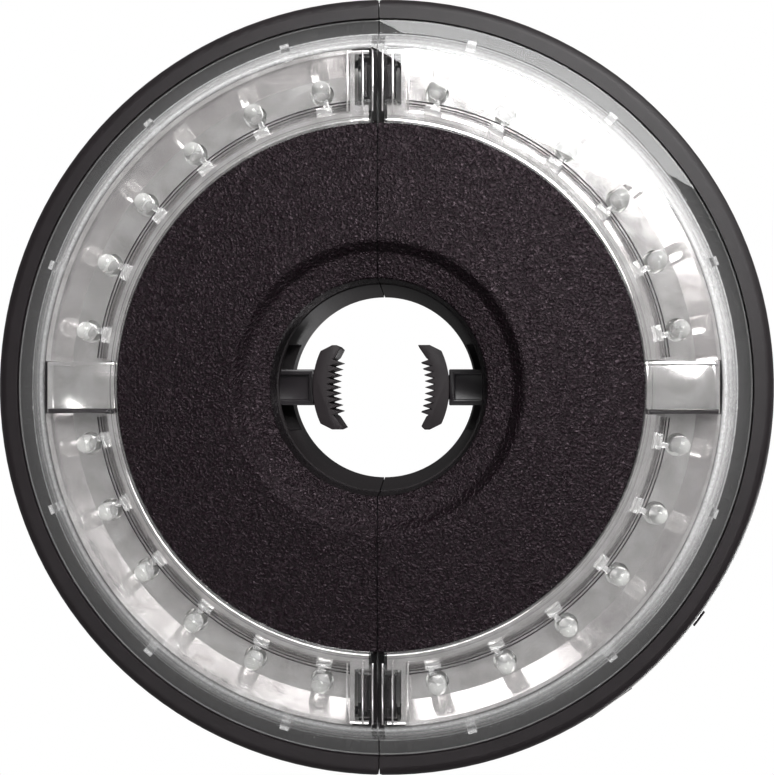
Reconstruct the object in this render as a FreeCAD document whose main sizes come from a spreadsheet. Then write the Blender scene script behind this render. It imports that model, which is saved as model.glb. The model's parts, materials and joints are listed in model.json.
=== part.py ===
# Round clip-on light for a patio umbrella pole, in millimetres.
# Z is the pole's axis and points up, the lamps shine down (-Z), and the origin lies on the
# pole's axis at the height of the spring jaws. Seen from below, the hinge is at -Y, the latch
# at +Y, and the half at -X swings open while the half at +X stays put.
import FreeCAD, Part
import Sketcher
import math
import os

os.makedirs("parts", exist_ok=True)
doc = FreeCAD.newDocument("umbrella_light")

SIZES = [
    # shared
    ("wall", 2.0), ("slack", 0.3), ("seam_gap", 0.3), ("rear_height", 13.0), ("overrun", 1.0),
    # pole hole and its lining
    ("hole_r", 28.3), ("hole_step", 0.4), ("hole_taper", 1.6), ("collar_depth", 9.5),
    ("collar_wall", 2.0), ("collar_flange", 3.0), ("collar_flange_thick", 1.4),
    # grained face with its dish
    ("dish_width", 6.7), ("dish_slope", 2.8), ("dish_depth", 2.5), ("dish_rim_depth", 3.5),
    ("dish_round", 1.2), ("face_width", 30.8), ("face_edge_drop", 1.8), ("face_lip", 1.6),
    ("face_lip_depth", 8.0),
    # reflector trays and dividers
    ("tray_inset", 2.2), ("inner_slope", 5.2), ("floor_width", 8.0), ("outer_slope", 4.3),
    ("floor_depth", 12.0), ("crest_depth", 7.0), ("tray_wall", 1.2), ("tray_top_depth", 4.2),
    ("tray_end", 7.0), ("tray_foot_gap", 0.4), ("tray_post_r", 1.4), ("divider_half", 6.8),
    ("divider_depth", 4.6), ("end_strip", 0.9), ("end_plate_gap", 0.25),
    # clear ring lens
    ("lens_wall", 1.6), ("lens_front_depth", 1.1), ("lens_tilt", 0.4), ("lens_lean", 5.2),
    ("lens_spread", 5.7), ("lens_corner", 0.8), ("flange_width", 3.7), ("lens_rim_depth", 3.7),
    ("pocket_inset", 3.2), ("pocket_margin", 1.8), ("pocket_wall", 0.7), ("prong", 1.6),
    ("prong_gap", 0.7), ("tab", 2.4), ("tab_in", 4.3), ("tab_out", 1.0), ("tab_rise", 5.6),
    ("key_rib", 0.6), ("key_rib_y", 5.1), ("key_rib_reach", 1.2), ("key_rib_rise", 0.4),
    # casing
    ("rim_width", 6.5), ("rim_depth", 13.0), ("rim_front_depth", 8.4), ("ledge_depth", 10.6),
    ("ledge_inset", 3.2), ("seam_wall_depth", 6.2), ("shoulder_inset", 2.5), ("shoulder_drop", 5.0),
    ("rear_inset", 6.0), ("rim_round", 3.0), ("rear_round", 4.0),
    # lamps and their boards
    ("led_r", 2.5), ("led_flange_r", 2.9), ("led_flange", 1.0), ("led_barrel", 6.1),
    ("led_inset", 3.5), ("led_tip_depth", 9.0), ("led_tilt", 6.0), ("led_first", 10.9),
    ("led_step", 13.6), ("led_slack", 0.2), ("lead_r", 0.25), ("lead_spacing", 2.54),
    ("lead_length", 2.8), ("lead_slack", 0.1), ("lead_gap", 0.28), ("board_thick", 1.6),
    ("board_depth", 15.5), ("board_reach", 5.5), ("board_gap", 0.4),
    # spring jaws
    ("pad_half", 11.6), ("pad_height", 14.0), ("pad_tip_x", 12.0), ("pad_thick", 6.8),
    ("pad_back_r", 24.0), ("pad_gap", 0.65), ("grip_r", 22.0), ("tooth_pitch", 1.7),
    ("tooth_depth", 2.6), ("lip_start", 8.4), ("sharp_lip", 1.85), ("blunt_lip", 0.9),
    ("lip_notch", 0.3), ("pad_chamfer", 3.2), ("arm_half", 5.0), ("arm_height", 7.0),
    ("arm_foot", 2.0), ("arm_foot_half", 6.8), ("arm_rib", 1.5), ("foot_gap", 0.4),
    ("stub_reach", 3.2), ("stub_half", 3.3), ("stub_height", 2.8), ("stub_slack", 0.2),
    ("jaw_travel", 12.0), ("mouth_spare", 2.2), ("guide_wall", 1.6), ("guide_roof", 1.4),
    ("guide_end_wall", 1.2), ("spring_block", 5.0), ("spring_r", 3.2), ("wire", 0.7),
    ("ear_half", 3.2), ("ear_thick", 2.0), ("ear_inset", 8.0), ("ear_offset", 7.2),
    # hinge and latch
    ("hinge_inset", 0.7), ("knuckle_r", 2.8), ("pin_r", 1.25), ("pin_slack", 0.05),
    ("pin_head", 0.8), ("pin_head_r", 1.95), ("knuckle_low", -4.0), ("knuckle_height", 4.8),
    ("knuckle_arm", 8.0), ("knuckle_arm_out", 2.0), ("knuckle_arm_in", 6.7), ("notch_r", 0.8),
    ("tongue_inset", 13.5), ("tongue_width", 4.0), ("tongue_height", 5.0), ("tongue_reach", 3.5),
    ("tongue_foot", 3.0), ("tongue_margin", 1.5), ("tongue_spare", 0.7), ("socket_wall", 1.2),
    # batteries
    ("cell_r", 7.25), ("cell_length", 50.5), ("cell_nub", 1.2), ("cell_nub_r", 2.75),
    ("cell_gap", 0.6), ("cell_side_gap", 0.25), ("cell_cover_gap", 0.85), ("cell_end_gap", 1.75),
    ("bay_wall", 1.2), ("contact", 0.4), ("contact_r", 2.2), ("contact_half", 5.1),
    ("door_ledge", 0.8), ("door_grip", 3.0), ("door_grip_inset", 8.0), ("door_grip_depth", 0.8),
    # screws
    ("screw_r", 1.45), ("screw_slack", 0.25), ("screw_head_r", 2.8), ("screw_head", 2.0),
    ("screw_bite", 8.0), ("boss_r", 3.5), ("boss_inset", 14.2), ("boss_low", -5.0),
    ("post_r", 3.0), ("drive_half", 1.8), ("drive_width", 0.8), ("guide_head", 1.6),
    ("touch_gap", 0.05),
    # power button and rim boss
    ("button_angle", 35.9), ("button_half", 2.4), ("button_proud", 0.9), ("button_rise", 0.5),
    ("button_height", 5.0), ("button_travel", 0.8), ("button_room", 1.9), ("button_stop", 0.8),
    ("button_stop_side", 1.2), ("button_stop_top", 0.7), ("switch_gap", 1.7), ("switch_depth", 3.5),
    ("switch_half", 3.0), ("plunger_r", 1.2), ("plunger_root", 0.5), ("button_spring_r", 2.0),
    ("button_wire", 0.5), ("switch_board_half", 7.0), ("switch_board_rise", 3.0),
    ("boss_angle", 53.75), ("rim_boss_half", 6.8), ("rim_boss_proud", 0.25), ("rim_boss_rise", 2.0),
    # control board
    ("control_x", 14.0), ("control_y", 56.0), ("control_length", 22.0), ("control_width", 14.0),
    ("chip_x", 6.0), ("chip_y", 4.0), ("chip_length", 7.0), ("chip_width", 6.0), ("chip_height", 1.6),
]

sheet = doc.addObject("Spreadsheet::Sheet", "Sizes")
for row, (alias, number) in enumerate(SIZES, start=1):
    sheet.set("A%d" % row, alias.replace("_", " "))
    sheet.set("B%d" % row, str(number))
    sheet.setAlias("B%d" % row, alias)
doc.recompute()


class Size:
    """A number together with the sheet formula that it comes from."""

    def __init__(self, value, text):
        self.value = float(value)
        self.text = text

    def __add__(self, other):
        return combine(self, other, "+")

    def __sub__(self, other):
        return combine(self, other, "-")

    def __mul__(self, other):
        return combine(self, other, "*")

    def __truediv__(self, other):
        return combine(self, other, "/")

    def __neg__(self):
        return combine(as_size(-1.0), self, "*")


def as_size(thing):
    return thing if isinstance(thing, Size) else Size(thing, "(%s)" % repr(float(thing)))


def combine(left, right, sign):
    left, right = as_size(left), as_size(right)
    answers = {
        "+": lambda: left.value + right.value,
        "-": lambda: left.value - right.value,
        "*": lambda: left.value * right.value,
        "/": lambda: left.value / right.value,
    }
    return Size(answers[sign](), "(%s %s %s)" % (left.text, sign, right.text))


class Sheet:
    """Reads each sheet cell as a Size, by its alias."""

    def __getattr__(self, alias):
        return Size(getattr(sheet, alias), "Sizes." + alias)


S = Sheet()


def bind(thing, prop, size):
    thing.setExpression(prop, as_size(size).text)


# ---------------------------------------------------------------- shape helpers

def outline(body, plane, corners):
    """A closed outline in one of the body's own planes, each corner bound to the sheet."""
    sketch = body.newObject("Sketcher::SketchObject", body.Name + "Outline")
    origin_plane = [o for o in body.Origin.OriginFeatures if o.Role == plane][0]
    sketch.AttachmentSupport = [(origin_plane, "")]
    sketch.MapMode = "FlatFace"
    spots = [FreeCAD.Vector(as_size(u).value, as_size(v).value, 0) for u, v in corners]
    for i, spot in enumerate(spots):
        sketch.addGeometry(Part.LineSegment(spot, spots[(i + 1) % len(spots)]), False)
    for i in range(len(spots)):
        sketch.addConstraint(Sketcher.Constraint("Coincident", i, 2, (i + 1) % len(spots), 1))
    for i, (u, v) in enumerate(corners):
        for kind, size in (("DistanceX", as_size(u)), ("DistanceY", as_size(v))):
            number = sketch.addConstraint(Sketcher.Constraint(kind, -1, 1, i, 1, size.value))
            sketch.setExpression("Constraints[%d]" % number, size.text)
    return sketch


def edges_at(shape, radius, level):
    """Names of the round edges about Z that have this radius and level."""
    names = []
    for number, edge in enumerate(shape.Edges, start=1):
        ends = [v.Point for v in edge.Vertexes]
        fits = all(abs(math.hypot(p.x, p.y) - radius) < 0.01 and abs(p.z - level) < 0.01 for p in ends)
        if fits and edge.Curve.TypeId == "Part::GeomCircle":
            names.append("Edge%d" % number)
    return names


def ring(name, corners, facing=0.0, rounds=()):
    """A half ring: the outline of (radius, height) corners turned 90 degrees each way about Z.

    facing is the direction of its middle, and rounds lists (corner number, radius) fillets.
    """
    body = doc.addObject("PartDesign::Body", name)
    sketch = outline(body, "XZ_Plane", corners)
    last = body.newObject("PartDesign::Revolution", name + "Turn")
    last.Profile = (sketch, [""])
    last.ReferenceAxis = (sketch, ["V_Axis"])
    last.Angle = 180
    last.Midplane = True
    doc.recompute()
    for corner, radius in rounds:
        at_r, at_z = corners[corner]
        names = edges_at(last.Shape, as_size(at_r).value, as_size(at_z).value)
        fillet = body.newObject("PartDesign::Fillet", "%sRound%d" % (name, corner))
        fillet.Base = (last, names)
        bind(fillet, "Radius", radius)
        doc.recompute()
        last = fillet
    body.Placement = FreeCAD.Placement(
        FreeCAD.Vector(), FreeCAD.Rotation(FreeCAD.Vector(0, 0, 1), facing))
    return body


def slab(name, corners, low, high, facing=0.0):
    """A flat outline of (x, y) corners raised from one level to another, then turned about Z."""
    body = doc.addObject("PartDesign::Body", name)
    sketch = outline(body, "XY_Plane", corners)
    bind(sketch, "AttachmentOffset.Base.z", low)
    pad = body.newObject("PartDesign::Pad", name + "Pad")
    pad.Profile = sketch
    bind(pad, "Length", as_size(high) - low)
    body.Placement = FreeCAD.Placement(
        FreeCAD.Vector(), FreeCAD.Rotation(FreeCAD.Vector(0, 0, 1), facing))
    return body


def block(name, x_from, x_to, y_from, y_to, low, high):
    """A box between two corners."""
    box = doc.addObject("Part::Box", name)
    for prop, start, end in (("Length", x_from, x_to), ("Width", y_from, y_to), ("Height", low, high)):
        bind(box, prop, as_size(end) - start)
    for axis, start in (("x", x_from), ("y", y_from), ("z", low)):
        bind(box, "Placement.Base." + axis, start)
    return box


def beam(name, side, x_from, x_to, y_from, y_to, low, high):
    """A box given for the half at +X, mirrored to -X when side is -1."""
    if side < 0:
        x_from, x_to = -as_size(x_to), -as_size(x_from)
    return block(name, x_from, x_to, y_from, y_to, low, high)


def rod(name, radius, x, y, low, high):
    """An upright cylinder."""
    cylinder = doc.addObject("Part::Cylinder", name)
    bind(cylinder, "Radius", radius)
    bind(cylinder, "Height", as_size(high) - low)
    for axis, at in (("x", x), ("y", y), ("z", low)):
        bind(cylinder, "Placement.Base." + axis, at)
    return cylinder


def level_rod(name, radius, along, start, end, across, height):
    """A cylinder that lies along X or Y, from start to end."""
    cylinder = doc.addObject("Part::Cylinder", name)
    bind(cylinder, "Radius", radius)
    bind(cylinder, "Height", as_size(end) - start)
    turned = {"x": (FreeCAD.Vector(0, 1, 0), 90), "y": (FreeCAD.Vector(1, 0, 0), -90)}[along]
    cylinder.Placement = FreeCAD.Placement(FreeCAD.Vector(), FreeCAD.Rotation(*turned))
    other = "y" if along == "x" else "x"
    for axis, at in ((along, start), (other, across), ("z", height)):
        bind(cylinder, "Placement.Base." + axis, at)
    return cylinder


def join(name, pieces):
    whole = doc.addObject("Part::MultiFuse", name)
    whole.Shapes = pieces
    whole.Refine = True
    return whole


def carve(name, base, tools):
    """The base with the tools taken away."""
    cut = doc.addObject("Part::Cut", name)
    cut.Base = base
    cut.Tool = tools[0] if len(tools) == 1 else join(name + "Tools", tools)
    cut.Refine = True
    return cut


def overlap(name, first, second):
    both = doc.addObject("Part::Common", name)
    both.Base = first
    both.Tool = second
    both.Refine = True
    return both


def group(name, pieces):
    """Separate solids kept together as one sub-part."""
    whole = doc.addObject("Part::Compound", name)
    whole.Links = pieces
    return whole


def copies(name, source, placements):
    """Separate solids: one copy of the source's shape at each placement."""
    doc.recompute()
    row_of = doc.addObject("Part::Feature", name)
    solids = []
    for placement in placements:
        solid = source.Shape.copy()
        solid.Placement = placement.multiply(solid.Placement)
        solids.append(solid)
    row_of.Shape = Part.makeCompound(solids)
    return row_of


def node(name, thing):
    """Names a finished sub-part."""
    thing.Label = name
    NODES[name] = thing
    return thing


NODES = {}
SIDES = {"right": 1, "left": -1}
QUARTERS = {"right_latch": (1, 1), "right_hinge": (1, -1), "left_latch": (-1, 1), "left_hinge": (-1, -1)}
FAR = 130.0

# ---------------------------------------------------------------- levels and shared values

rear = S.rear_height
rear_inner = rear - S.wall
half_gap = S.seam_gap / 2
inner_face_x = half_gap + S.wall

# from the back inwards: the cells, the tray under them and the lamps' leads set the front's level
cell_z = rear_inner - S.cell_cover_gap - S.cell_r
bay_floor = cell_z - S.cell_r - S.slack
bay_low = bay_floor - S.bay_wall
led_lean = math.radians(S.led_tilt.value)
front = bay_low - S.lead_gap - S.lead_length - S.led_barrel * math.cos(led_lean) - S.led_tip_depth
ledge_z = front + S.ledge_depth
flange_z = ledge_z - S.lens_wall
lens_front = front + S.lens_front_depth
rim_z = front + S.rim_depth
rim_front_z = front + S.rim_front_depth
shoulder_z = rear - S.shoulder_drop
screw_seat_z = rear - S.wall - S.screw_head
tray_floor_z = front + S.floor_depth
tray_under_z = tray_floor_z + S.tray_wall
plate_z = front + S.divider_depth
board_z = front + S.board_depth

# from the pole outwards
hole_mid_r = S.hole_r - S.hole_step
hole_rear_r = hole_mid_r - S.hole_taper
collar_r = S.hole_r + S.collar_wall
collar_top = rear_inner - S.collar_flange_thick
dish_inner_r = S.hole_r + S.dish_width
dish_outer_r = dish_inner_r + S.dish_slope
boss_circle_r = dish_outer_r + S.boss_inset
face_r = dish_outer_r + S.face_width
face_inner_r = face_r - S.face_lip
lens_rim_r = face_r + S.slack
tray_inner_r = face_r + S.tray_inset
floor_inner_r = tray_inner_r + S.inner_slope
floor_outer_r = floor_inner_r + S.floor_width
led_circle_r = floor_outer_r - S.led_inset
board_outer_r = led_circle_r + S.board_reach
crest_r = floor_outer_r + S.outer_slope
tray_lip_r = lens_rim_r + S.slack
plate_end_r = crest_r - S.slack
pocket_start = tray_inner_r + S.pocket_inset
pocket_end = crest_r - S.pocket_margin
lens_base_r = crest_r + S.lens_spread
lens_front_r = lens_base_r - S.lens_lean
ledge_r = lens_base_r - S.ledge_inset
flange_r = lens_base_r + S.flange_width
rim_inner_r = flange_r + S.slack
rim_r = rim_inner_r + S.rim_width
shoulder_r = rim_r - S.shoulder_inset
rear_r = rim_r - S.rear_inset
hinge_y = rim_r - S.hinge_inset
tongue_y = rim_r - S.tongue_inset

# along each jaw, from the pole outwards
window_half = S.pad_half + S.pad_gap
window_height = S.pad_height / 2 + S.pad_gap
pad_back_x = S.pad_tip_x + S.pad_thick
mouth_end_x = pad_back_x + S.jaw_travel + S.mouth_spare
throat_x = mouth_end_x + S.guide_wall
arm_end_x = throat_x + S.foot_gap + S.arm_foot
guide_end_x = arm_end_x + S.jaw_travel + S.spring_block
guide_top = window_height + S.guide_roof
throat_half = S.arm_foot_half + S.slack
cell_x = guide_end_x + S.slack + S.bay_wall + S.cell_side_gap + S.cell_r
cell_step = S.cell_r * 2 + S.cell_gap
bay_half = S.cell_length / 2 + S.cell_end_gap

# at the seam ends and on the rim
pocket_x = S.tray_end - S.end_strip - S.slack
prong_x = inner_face_x + S.prong_gap
button_turn = S.button_angle.value
button_low = rim_z + S.button_rise
button_high = button_low + S.button_height
button_top_r = rim_r + S.button_proud
button_back_r = rim_r - S.wall - S.button_room
switch_top_r = button_back_r - S.button_travel - S.switch_gap
switch_back_r = switch_top_r - S.switch_depth

seam_strip = block("SeamStrip", -half_gap, half_gap, -FAR, FAR, -FAR, FAR)


def halved(name, whole):
    """The half ring less the strip of air at the seam."""
    return carve(name, whole, [seam_strip])


def facing_of(side):
    return 0.0 if side > 0 else 180.0


def span(way, near, far):
    """Two distances from the middle as a low and a high coordinate, on the side that way names."""
    return (near, far) if way > 0 else (-as_size(far), -as_size(near))


def screw_spots(side):
    """Where the case screws go: (x, y) pairs on one circle."""
    spots = []
    for angle in (-75, -45, 45, 75):
        turn = math.radians(angle)
        spots.append((boss_circle_r * (side * math.cos(turn)), boss_circle_r * math.sin(turn)))
    return spots


# ---------------------------------------------------------------- face shell

def face(word, side):
    """Grained front disc with the dish around the pole hole and the first part of its wall."""
    corners = [
        (S.hole_r, front + S.dish_rim_depth),
        (dish_inner_r, front + S.dish_depth),
        (dish_outer_r, front),
        (face_r, front + S.face_edge_drop),
        (face_r, front + S.face_lip_depth),
        (face_inner_r, front + S.face_lip_depth),
        (face_inner_r, front + S.face_edge_drop + S.wall),
        (dish_outer_r + S.face_lip / 2, front + S.wall),
        (dish_inner_r + S.face_lip / 2, front + S.dish_depth + S.wall),
        (collar_r, front + S.dish_rim_depth + S.wall),
        (collar_r, -S.collar_depth),
        (S.hole_r, -S.collar_depth),
    ]
    rounds = [(0, S.dish_round / 2), (1, S.dish_round), (2, S.dish_round), (3, S.dish_round / 3)]
    disc = halved("Face%s" % word, ring("FaceRing%s" % word, corners, facing_of(side), rounds))
    post_root = front + S.face_edge_drop * (S.boss_inset / S.face_width) + S.wall / 2
    posts, pilots = [], []
    for number, (x, y) in enumerate(screw_spots(side)):
        tag = "%s%d" % (word, number)
        posts.append(rod("FacePost" + tag, S.post_r, x, y, post_root, S.boss_low))
        pilots.append(rod("FacePilot" + tag, S.screw_r, x, y, S.boss_low - S.screw_bite - S.overrun,
                          S.boss_low))
    return node("face_" + word, carve("FacePart%s" % word, join("FaceAll%s" % word, [disc] + posts), pilots))


# ---------------------------------------------------------------- rear casing

def casing_outer(word, side):
    groove_r = collar_r + S.collar_flange + S.slack
    corners = [
        (collar_r, rear_inner),
        (groove_r, rear_inner),
        (groove_r, collar_top - S.slack),
        (collar_r + S.slack, collar_top - S.slack),
        (collar_r + S.slack, front + S.seam_wall_depth),
        (face_inner_r - S.slack, front + S.seam_wall_depth),
        (face_inner_r - S.slack, ledge_z),
        (rim_inner_r, ledge_z),
        (rim_inner_r, rim_front_z),
        (rim_r - S.rim_round / 2, rim_front_z),
        (rim_r, rim_z),
        (shoulder_r, shoulder_z),
        (rear_r, rear),
        (collar_r, rear),
    ]
    rounds = [(9, S.rim_round), (11, S.rear_round), (12, S.rear_round)]
    return ring("CaseOuter%s" % word, corners, facing_of(side), rounds)


def casing_hollow(word, side):
    corners = [
        (collar_r - S.wall, -FAR),
        (collar_r - S.wall, rear_inner),
        (rear_r - S.wall, rear_inner),
        (shoulder_r - S.wall, shoulder_z - S.wall / 2),
        (rim_r - S.wall, rim_z),
        (rim_r - S.wall, ledge_z + S.wall),
        (ledge_r, ledge_z + S.wall),
        (ledge_r, -FAR),
    ]
    hollow = ring("CaseHollow%s" % word, corners, facing_of(side))
    keep = block("SeamWall%s" % word, -inner_face_x, inner_face_x, -FAR, FAR, -FAR * 2, FAR)
    return carve("CaseCavity%s" % word, hollow, [keep])


def hole_collar(word, side):
    """Lining of the pole hole, from the face's wall to the back, with the window for the jaw."""
    corners = [
        (hole_mid_r, -S.collar_depth + S.slack),
        (collar_r, -S.collar_depth + S.slack),
        (collar_r, collar_top),
        (collar_r + S.collar_flange, collar_top),
        (collar_r + S.collar_flange, rear_inner),
        (collar_r, rear_inner),
        (collar_r, rear),
        (hole_rear_r, rear),
    ]
    whole = ring("CollarRing%s" % word, corners, facing_of(side), [(7, S.dish_round / 2)])
    window = beam("CollarWindow%s" % word, side, 0, mouth_end_x, -window_half, window_half,
                  -window_height, window_height)
    return node("hole_collar_" + word,
                carve("CollarPart%s" % word, halved("Collar%s" % word, whole), [window]))


def knuckle_levels():
    """Low and high level of each hinge knuckle, from the bottom up."""
    step = S.knuckle_height + S.slack
    return [(S.knuckle_low + step * i, S.knuckle_low + step * i + S.knuckle_height) for i in range(3)]


def knuckle(word, side, number, bore):
    """A hinge knuckle with the arm that carries it on the casing's side."""
    low, high = knuckle_levels()[number]
    tag = "%s%d" % (word, number)
    barrel = rod("Barrel" + tag, S.knuckle_r, 0, -hinge_y, low, high)
    arm = beam("KnuckleArm" + tag, side, half_gap, S.knuckle_arm, -hinge_y - S.knuckle_arm_out,
               -hinge_y + S.knuckle_arm_in, low, high)
    hole = rod("KnuckleBore" + tag, bore, 0, -hinge_y, low - S.overrun, high + S.overrun)
    return carve("Knuckle" + tag, join("KnuckleAll" + tag, [barrel, arm]), [hole])


def case_bosses(word, side):
    """Bosses for the case screws, and the holes and head wells in them."""
    bosses, holes = [], []
    for number, (x, y) in enumerate(screw_spots(side)):
        tag = "%s%d" % (word, number)
        bosses.append(rod("Boss" + tag, S.boss_r, x, y, S.boss_low + S.slack, rear_inner + S.wall / 2))
        holes.append(rod("BossHole" + tag, S.screw_r + S.screw_slack, x, y, S.boss_low, rear))
        holes.append(rod("BossSink" + tag, S.screw_head_r + S.slack, x, y, screw_seat_z, rear + S.overrun))
    return bosses, holes


def guide_ear(side, way):
    """Centre of a guide's screw ear."""
    return (guide_end_x - S.ear_inset) * side, (S.arm_foot_half + S.ear_offset) * way


def guide_posts(word, side):
    """Posts that carry the jaw guide, and the pilot holes in them."""
    posts, pilots = [], []
    root = rear_inner + S.wall / 2
    for number, way in enumerate((-1, 1)):
        x, y = guide_ear(side, way)
        posts.append(rod("GuidePost%s%d" % (word, number), S.post_r, x, y, guide_top, root))
        pilots.append(rod("GuidePilot%s%d" % (word, number), S.screw_r, x, y, guide_top - S.overrun, root))
    return posts, pilots


def prongs(word, side):
    """Tongues on the seam wall that stand in the lens's pockets."""
    pieces = []
    inset = S.lens_wall + S.slack
    for number, way in enumerate((-1, 1)):
        tag = "%s%d" % (word, number)
        start, end = span(way, pocket_start, pocket_end)
        pieces.append(beam("ProngFoot" + tag, side, half_gap, prong_x + S.prong, start, end,
                           ledge_z + S.slack, ledge_z + S.wall))
        pieces.append(beam("Prong" + tag, side, prong_x, prong_x + S.prong, start + inset, end - inset,
                           plate_z, ledge_z + S.wall))
    return pieces


def arc_slab(name, angle, r_from, r_to, half, low, high):
    """A flat bar that runs outwards from r_from to r_to at an angle about the pole."""
    return slab(name, [(r_from, -half), (r_to, -half), (r_to, half), (r_from, half)], low, high, angle)


def bay_edges(grow):
    """The battery bay's four inner edges, moved out by grow: x near, x far, y low, y high."""
    near = cell_x - S.cell_r - S.cell_side_gap - grow
    far = cell_x + cell_step + S.cell_r + S.cell_side_gap + grow
    return near, far, -bay_half - grow, bay_half + grow


def rear_shell(word, side):
    """Rear casing half: rim, side, back, seam wall, bosses, prongs and hinge knuckles."""
    body = carve("CaseHalf%s" % word, casing_outer(word, side), [casing_hollow(word, side), seam_strip])
    bosses, holes = case_bosses(word, side)
    posts, pilots = guide_posts(word, side)
    near, far, low, high = bay_edges(S.door_ledge)
    grow = S.slack if side > 0 else 0.0
    low_z, high_z = tongue_levels(grow)
    start_y, end_y = tongue_sides(grow)
    extras = bosses + posts + prongs(word, side)
    cuts = holes + pilots + [
        beam("BayHole%s" % word, side, near, far, low, high, rear_inner - S.overrun, rear + S.overrun),
        rod("NotchHinge%s" % word, S.notch_r, 0, -hinge_y, -FAR, S.knuckle_low),
        rod("NotchLatch%s" % word, S.notch_r, 0, hinge_y, -FAR, FAR),
        rod("HingeRelief%s" % word, S.knuckle_r + S.slack, 0, -hinge_y,
            S.knuckle_low - S.pin_head - S.slack * 2, rear + S.overrun),
        beam("LatchSlot%s" % word, side, 0, inner_face_x + S.overrun, start_y, end_y, low_z, high_z),
    ]
    if side > 0:
        cuts.append(arc_slab("ButtonWindow", button_turn, rim_inner_r, button_top_r + S.overrun,
                             S.button_half + S.slack, button_low - S.slack, button_high + S.slack))
        extras.append(arc_slab("RimBoss", S.boss_angle.value, rim_r - S.wall, rim_r + S.rim_boss_proud,
                               S.rim_boss_half, button_low, button_high + S.rim_boss_rise))
        hinges = [knuckle(word, side, 1, S.pin_r)]
    else:
        hinges = [knuckle(word, side, number, S.pin_r + S.pin_slack) for number in (0, 2)]
    solid = carve("CaseCut%s" % word, join("CaseAdd%s" % word, [body] + extras), cuts)
    return node("rear_shell_" + word, join("CasePart%s" % word, [solid] + hinges))


# ---------------------------------------------------------------- clear ring lens

def lens_outline():
    """Outer corners of the lens, from its inner rim over the front to the flange's edge."""
    return [
        (lens_rim_r, lens_front),
        (lens_front_r, lens_front + S.lens_tilt),
        (lens_base_r, flange_z),
        (flange_r, flange_z),
        (flange_r, ledge_z),
    ]


def lens(word, side):
    """Clear cover with its flange, end walls, prong pockets, tabs and key ribs."""
    inner = [
        (lens_base_r - S.lens_wall, ledge_z),
        (lens_base_r - S.lens_wall, flange_z + S.lens_corner),
        (lens_front_r - S.lens_corner, lens_front + S.lens_wall + S.lens_tilt / 2),
        (lens_rim_r + S.lens_wall, lens_front + S.lens_wall),
        (lens_rim_r + S.lens_wall, front + S.lens_rim_depth),
        (lens_rim_r, front + S.lens_rim_depth),
    ]
    shell = halved("Lens%s" % word, ring("LensRing%s" % word, lens_outline() + inner, facing_of(side),
                                         [(0, S.lens_wall / 3), (1, S.lens_wall), (2, S.lens_wall / 2)]))
    pieces = [shell]
    for number, way in enumerate((-1, 1)):
        tag = "%s%d" % (word, number)
        start, end = span(way, lens_rim_r, lens_base_r)
        wall = beam("EndWall" + tag, side, half_gap, half_gap + S.lens_wall, start, end, lens_front, ledge_z)
        start, end = span(way, pocket_start, pocket_end)
        pocket = beam("Pocket" + tag, side, half_gap, pocket_x, start, end, lens_front, ledge_z)
        hollow = beam("PocketHollow" + tag, side, half_gap + S.lens_wall, pocket_x - S.pocket_wall,
                      start + S.pocket_wall, end - S.pocket_wall, lens_front + S.lens_wall,
                      ledge_z + S.overrun)
        block_end = join("EndBlock" + tag, [wall, carve("PocketWall" + tag, pocket, [hollow])])
        plug = ring("LensPlug" + tag, lens_outline() + [(lens_rim_r, ledge_z)], facing_of(side))
        pieces.append(overlap("End" + tag, plug, block_end))
        low_y, high_y = span(way, S.key_rib_y, S.key_rib_y + S.key_rib)
        pieces.append(beam("KeyRib" + tag, side, lens_base_r - S.key_rib_reach,
                           lens_base_r + S.key_rib_reach, low_y, high_y,
                           flange_z - S.key_rib_rise, flange_z + S.key_rib_rise))
    return node("lens_" + word, join("LensPart%s" % word, pieces + [lens_tabs(word, side)]))


def lens_tabs(word, side):
    """Small gussets that stand on the lens's sloped side."""
    inner_r, outer_r = lens_base_r - S.tab_in, lens_base_r - S.tab_out
    top = flange_z - S.tab_rise
    wedge = ring("TabRing%s" % word, [(inner_r, top), (outer_r, top), (outer_r, flange_z - S.key_rib_rise)],
                 facing_of(side))
    spokes = []
    for number, angle in enumerate((-74.6, -49.0, -20.5, 20.5, 49.0, 74.6)):
        spokes.append(arc_slab("TabSpoke%s%d" % (word, number), facing_of(side) + angle, floor_outer_r,
                               rim_r, S.tab / 2, front, ledge_z))
    return overlap("Tabs%s" % word, wedge, join("TabSpokes%s" % word, spokes))


# ---------------------------------------------------------------- reflectors and dividers

def tray_corners():
    foot_r = lens_base_r - S.lens_wall - S.tray_foot_gap
    top, crest_z = front + S.tray_top_depth, front + S.crest_depth
    return [
        (tray_lip_r, top),
        (tray_inner_r + S.tray_wall, top),
        (floor_inner_r, tray_floor_z),
        (floor_outer_r, tray_floor_z),
        (crest_r, crest_z),
        (crest_r + S.tray_wall, crest_z),
        (foot_r, ledge_z - S.tray_wall),
        (foot_r, ledge_z),
        (foot_r - S.tray_wall, ledge_z),
        (crest_r + S.slack, crest_z + S.tray_wall + S.slack),
        (floor_outer_r + S.tray_wall / 2, tray_under_z),
        (floor_inner_r - S.tray_wall, tray_under_z),
        (tray_inner_r, top + S.tray_wall),
        (tray_lip_r, top + S.tray_wall),
    ]


def led_places(side, way):
    """Placement of each lamp of one quarter: its base sits low and its tip leans outward."""
    places = []
    for number in range(6):
        angle = math.radians(S.led_first.value + S.led_step.value * number)
        out = FreeCAD.Vector(side * math.cos(angle), way * math.sin(angle), 0)
        aim = out * math.sin(led_lean) + FreeCAD.Vector(0, 0, -math.cos(led_lean))
        tip = out * led_circle_r.value + FreeCAD.Vector(0, 0, (front + S.led_tip_depth).value)
        along = FreeCAD.Vector(-out.y, out.x, 0)
        turn = FreeCAD.Rotation(along.cross(aim), along, aim, "ZXY")
        places.append(FreeCAD.Placement(tip - aim * S.led_barrel.value, turn))
    return places


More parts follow.
